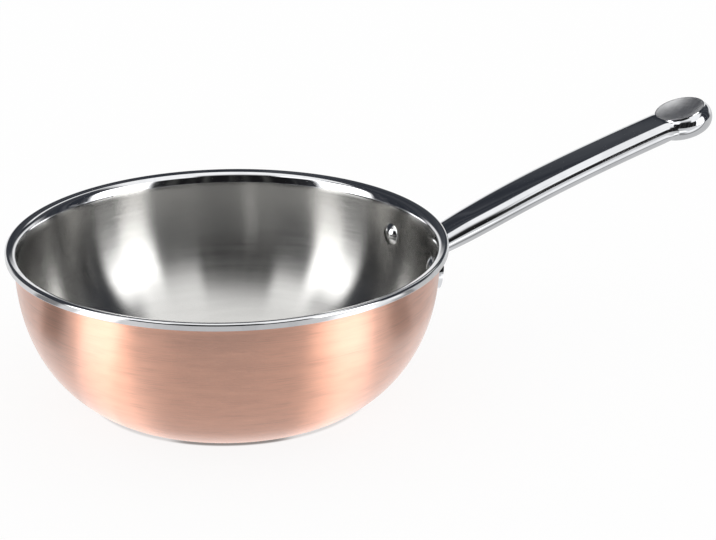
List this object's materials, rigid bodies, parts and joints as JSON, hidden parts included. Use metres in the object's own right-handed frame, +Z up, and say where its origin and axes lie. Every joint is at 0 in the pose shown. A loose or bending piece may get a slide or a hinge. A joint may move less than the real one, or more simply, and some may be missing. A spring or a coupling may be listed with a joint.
{
  "type": "saucier pan",
  "caption": "Round-sided saucier pan with a flared pouring lip, bonded copper, aluminium and steel wall, and a riveted cast stick handle ending in a dished knob.",
  "frame": {"origin": "centre of the flat underside of the bowl, on the surface that the pan stands on", "axes": "+Z up along the bowl's axis, +X from the bowl's centre along the handle, +Y to the left of someone looking from the bowl along the handle"},
  "size_m": [0.4226, 0.245, 0.1328],
  "materials": {
    "brushed_copper": "solid copper, satin, brushed round the bowl",
    "core_aluminium": "plain rolled aluminium, hidden between skin and lining",
    "lining_steel": "stainless steel, finely polished, with a polished rounded lip",
    "polished_cast_steel": "cast stainless steel, mirror polished",
    "rivet_steel": "stainless steel, polished heads"
  },
  "bodies": {
    "root": {"copper_skin": "brushed_copper", "aluminium_core": "core_aluminium", "steel_lining": "lining_steel", "handle": "polished_cast_steel", "rivet_left": "rivet_steel", "rivet_right": "rivet_steel"}
  },
  "joints": []
}
